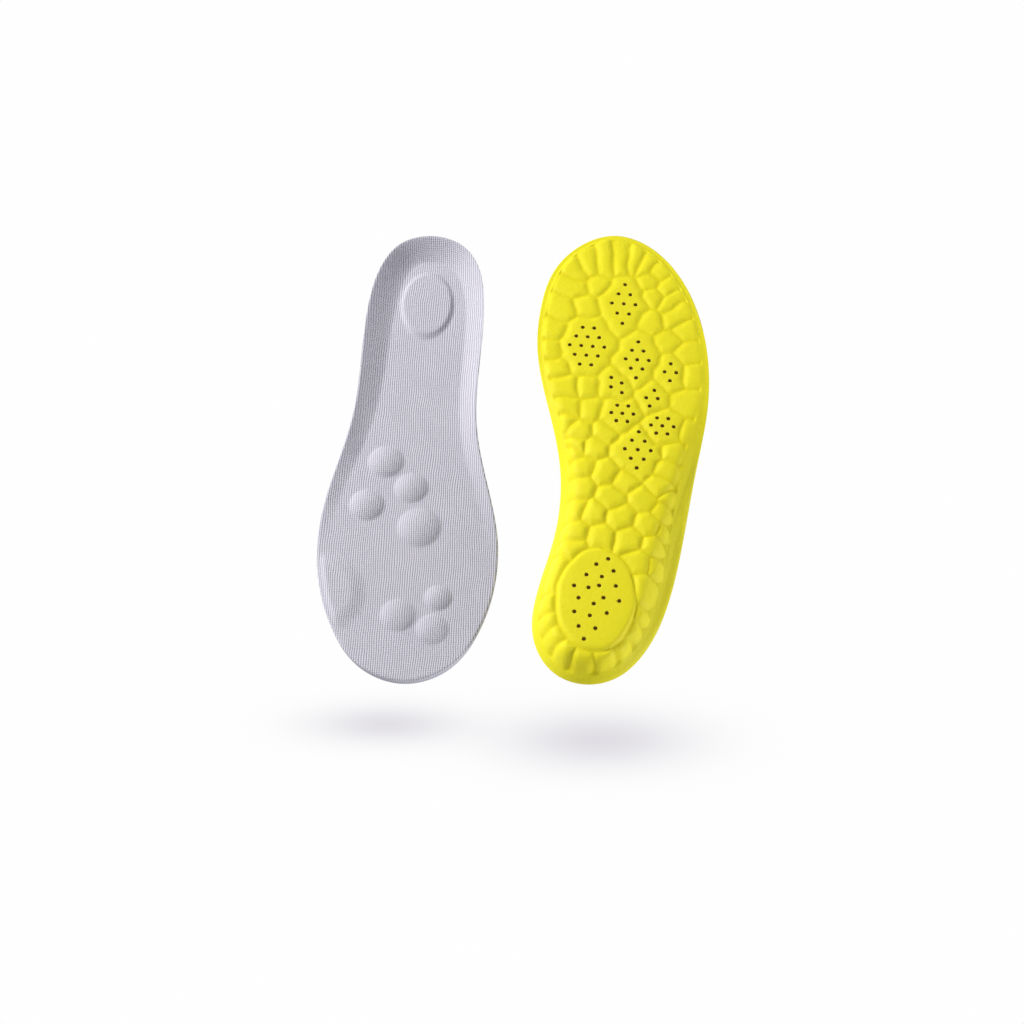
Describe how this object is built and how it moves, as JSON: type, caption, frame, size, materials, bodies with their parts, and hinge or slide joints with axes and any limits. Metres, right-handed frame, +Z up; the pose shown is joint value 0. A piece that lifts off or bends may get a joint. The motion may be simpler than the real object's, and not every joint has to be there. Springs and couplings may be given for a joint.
{
  "type": "cushioned insole pair",
  "caption": "Pair of full-length cushioned shoe insoles with knit covers, raised pads and domes, cupped heels and cobbled yellow foam soles; one lies face up, one sole up.",
  "frame": {"origin": "middle of the pair's footprint, on the surface that the pair lies on", "axes": "+Z up; +Y along the insoles, from the toe of the right one towards its heel; +X from the right insole to the left one"},
  "size_m": [0.2009, 0.2645, 0.0195],
  "materials": {
    "knit_cover": "ribbed knit, lavender grey",
    "comfort_foam": "soft open-cell foam, grey",
    "base_foam": "moulded polyurethane foam, satin, bright yellow",
    "insert_foam": "dense foam, hidden under the cover"
  },
  "bodies": {
    "right_rear": {"right_base_foam_rear": "base_foam", "right_comfort_foam_rear": "comfort_foam", "right_cover_rear": "knit_cover", "right_heel_pad": "insert_foam", "right_arch_dome_1": "insert_foam", "right_arch_dome_2": "insert_foam", "right_arch_dome_3": "insert_foam", "right_arch_dome_4": "insert_foam"},
    "right_forefoot": {"right_base_foam_front": "base_foam", "right_comfort_foam_front": "comfort_foam", "right_cover_front": "knit_cover", "right_ball_pad": "insert_foam", "right_toe_dome_1": "insert_foam", "right_toe_dome_2": "insert_foam", "right_toe_dome_3": "insert_foam"},
    "left_rear": {"left_base_foam_rear": "base_foam", "left_comfort_foam_rear": "comfort_foam", "left_cover_rear": "knit_cover", "left_heel_pad": "insert_foam", "left_arch_dome_1": "insert_foam", "left_arch_dome_2": "insert_foam", "left_arch_dome_3": "insert_foam", "left_arch_dome_4": "insert_foam"},
    "left_forefoot": {"left_base_foam_front": "base_foam", "left_comfort_foam_front": "comfort_foam", "left_cover_front": "knit_cover", "left_ball_pad": "insert_foam", "left_toe_dome_1": "insert_foam", "left_toe_dome_2": "insert_foam", "left_toe_dome_3": "insert_foam"}
  },
  "joints": [
    {"name": "right_toe_flex", "type": "hinge", "parent": "right_rear", "child": "right_forefoot", "pos_m": [-0.0546, -0.06243, 0.008], "axis": [-0.9563, 0.2924, 0], "range_deg": [0, 45], "stiffness_Nm_per_rad": 0.15},
    {"name": "left_insole_lift", "type": "slide", "parent": "right_rear", "child": "left_rear", "axis": [0, 0, 1], "range_m": [0, 0.12]},
    {"name": "left_toe_flex", "type": "hinge", "parent": "left_rear", "child": "left_forefoot", "pos_m": [0.05539, 0.06234, 0.00409], "axis": [-0.9397, 0.3418, -0.0104], "range_deg": [0, 45], "stiffness_Nm_per_rad": 0.15}
  ]
}
